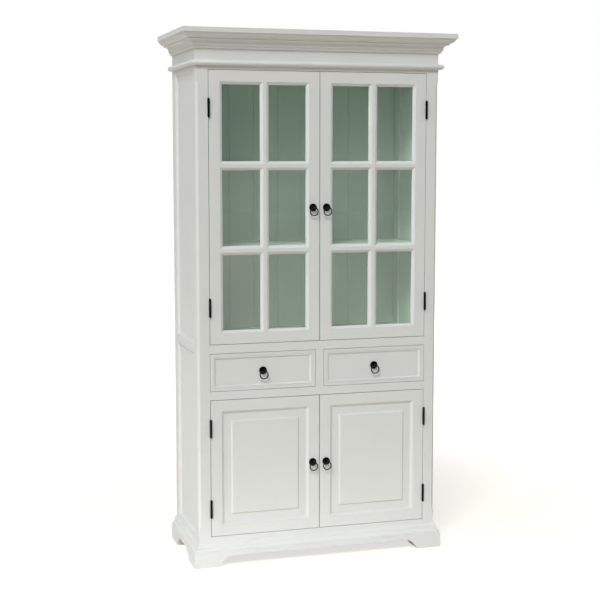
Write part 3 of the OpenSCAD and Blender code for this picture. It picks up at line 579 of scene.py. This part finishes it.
def screw_head(name, radius_mm, height_mm, slot_mm, domed=False):
    """A slotted head on the XY plane, half of it cut from a disc or dome and the other half turned."""
    bm = bmesh.new()
    if domed:
        bmesh.ops.create_uvsphere(bm, u_segments=24, v_segments=12, radius=radius_mm * MM,
                                  matrix=Matrix.Diagonal((1, 1, height_mm / radius_mm, 1)))
    else:
        bmesh.ops.create_cone(bm, cap_ends=True, segments=32, radius1=radius_mm * MM,
                              radius2=(radius_mm - height_mm) * MM, depth=2 * height_mm * MM)
    # The first cut leaves the part above the plane, and the second the half beyond the slot.
    for point, side in (((0, 0, 0), (0, 0, 1)), ((0, slot_mm * MM / 2, 0), (0, 1, 0))):
        cut = bmesh.ops.bisect_plane(bm, geom=bm.verts[:] + bm.edges[:] + bm.faces[:], dist=CUT_DISTANCE,
                                     plane_co=point, plane_no=side, clear_inner=True)
        rim = [e for e in cut["geom_cut"] if isinstance(e, bmesh.types.BMEdge)]
        bmesh.ops.holes_fill(bm, edges=rim, sides=0)
    half = bmesh.ops.duplicate(bm, geom=bm.verts[:] + bm.edges[:] + bm.faces[:])
    turned = [v for v in half["geom"] if isinstance(v, bmesh.types.BMVert)]
    bmesh.ops.rotate(bm, verts=turned, cent=(0, 0, 0), matrix=Matrix.Rotation(math.pi, 3, "Z"))
    bmesh.ops.recalc_face_normals(bm, faces=bm.faces[:])
    return close_mesh(bm, name)


flush_head = screw_head("flush_head", radius_mm=2.7, height_mm=0.07, slot_mm=0.8)
round_head = screw_head("round_head", radius_mm=3.2, height_mm=1.5, slot_mm=0.8, domed=True)
print("heads", len(flush_head.polygons), "and", len(round_head.polygons), "faces")

# %% [markdown]
# Screws come in sets, and all screws of a set sit on the same body. An object for each head would make a
# long list, so the heads of a set are joined in one mesh.

# %% Copies of a shape on a body
def set_pieces(name, body, slot, shape, places):
    """One object on a body, with a copy of shape at each place in mm, its top turned along the direction."""
    bm = bmesh.new()
    for place_mm, direction in places:
        known = len(bm.verts)
        bm.from_mesh(shape)
        turn = Vector(direction).to_track_quat("Z", "Y").to_matrix().to_4x4()
        bmesh.ops.transform(bm, matrix=Matrix.Translation(Vector(place_mm) * MM) @ turn,
                            verts=bm.verts[known:])
    mesh = close_mesh(bm, name)
    mesh.materials.append(finishes[slot])
    piece = bpy.data.objects.new(name, mesh)
    scene.collection.objects.link(piece)
    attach(piece, body)
    print(name, "on", body, len(places))


print("shapes to copy:", flush_head.name, round_head.name)

# %% [markdown]
# The screws sit where a joiner would set them: a row down each hinge leaf with the middle one set back, two
# under each catch and two in each strike. The places are in millimetres. Depths are measured back from the
# front of the face frame, and heights from the floor or from the middle of a hinge or the foot of a catch.

# %% Screws in hinges, catches and strikes
FRONT_Y = -176.5
HINGE_X = 427.0
HINGE_ZS = {"upper": (981.0, 1715.0), "lower": (220.0, 527.0)}
LEAF_FACE = 0.1
LEAF_SCREWS = ((-21.0, 7.5), (0.0, 11.5), (21.0, 7.5))
CATCH_X = 47.0
CATCH_ZS = {"upper": 1834.0, "lower": 614.5}
CATCH_DEPTH = 31.2
CATCH_SCREW_STEPS = (-13.0, 13.0)
STRIKE_DEPTH = 22.8
STRIKE_RISE = 6.0

frame_leaves, catch_foot = [], []
for storey, hinge_zs in HINGE_ZS.items():
    for hand, side in (("left", -1), ("right", 1)):
        door = f"{storey}_door_{hand}"
        leaf = [(FRONT_Y + depth, z + rise) for z in hinge_zs for rise, depth in LEAF_SCREWS]
        set_pieces(f"{door}_hinge_screws", door, "black_iron", flush_head,
                   [((side * (HINGE_X - LEAF_FACE), y, z), (side, 0, 0)) for y, z in leaf])
        frame_leaves += [((side * (HINGE_X + LEAF_FACE), y, z), (-side, 0, 0)) for y, z in leaf]
        catch_z = CATCH_ZS[storey]
        screw_xs = [side * CATCH_X + step for step in CATCH_SCREW_STEPS]
        set_pieces(f"{door}_strike_screws", door, "plain_steel", flush_head,
                   [((x, FRONT_Y + STRIKE_DEPTH, catch_z + STRIKE_RISE), (0, 1, 0)) for x in screw_xs])
        catch_foot += [((x, FRONT_Y + CATCH_DEPTH, catch_z), (0, 0, -1)) for x in screw_xs]
set_pieces("frame_hinge_screws", "case", "black_iron", flush_head, frame_leaves)
set_pieces("catch_screws", "case", "plain_steel", round_head, catch_foot)

# %% [markdown]
# The front of a magnetic catch shows the edges of the two steel plates that lead the magnet's pull to the
# strike on the door. They are plain bars, cut from sheet.

# %% Pole plates of the catches
POLE_DEPTH = 23.2
POLE_RISES = (3.5, 8.5)
POLE_SIZE = (34.0, 1.8, 0.3)

bm = bmesh.new()
bmesh.ops.create_cube(bm, size=1.0, matrix=Matrix.Diagonal([length * MM for length in POLE_SIZE] + [1]))
set_pieces("catch_poles", "case", "plain_steel", close_mesh(bm, "pole_plate"),
           [((side * CATCH_X, FRONT_Y + POLE_DEPTH, catch_z + rise), (0, -1, 0))
            for catch_z in CATCH_ZS.values() for side in (-1, 1) for rise in POLE_RISES])

# %% [markdown]
# The back boards are screwed to the ceiling, the deck and both floors, with two screws across each board.
# Their heads are driven flush too, so that the cabinet can stand flat against a wall.

# %% Screws in the back boards
BACK_ROW_ZS = (111.5, 635.5, 841.0, 1855.0)
BOARD_SCREW_STEPS = (-28.0, 28.0)

board_head = screw_head("board_head", radius_mm=4.0, height_mm=0.05, slot_mm=1.0)
board_xs = [-BACK_HALF_MM + (i + HALF_BOARD) * BOARD_MM for i in range(BOARD_COUNT)]
set_pieces("back_board_screws", "case", "plain_steel", board_head,
           [((x + step, back_y / MM, z), (0, 1, 0)) for x in board_xs for step in BOARD_SCREW_STEPS
            for z in BACK_ROW_ZS])
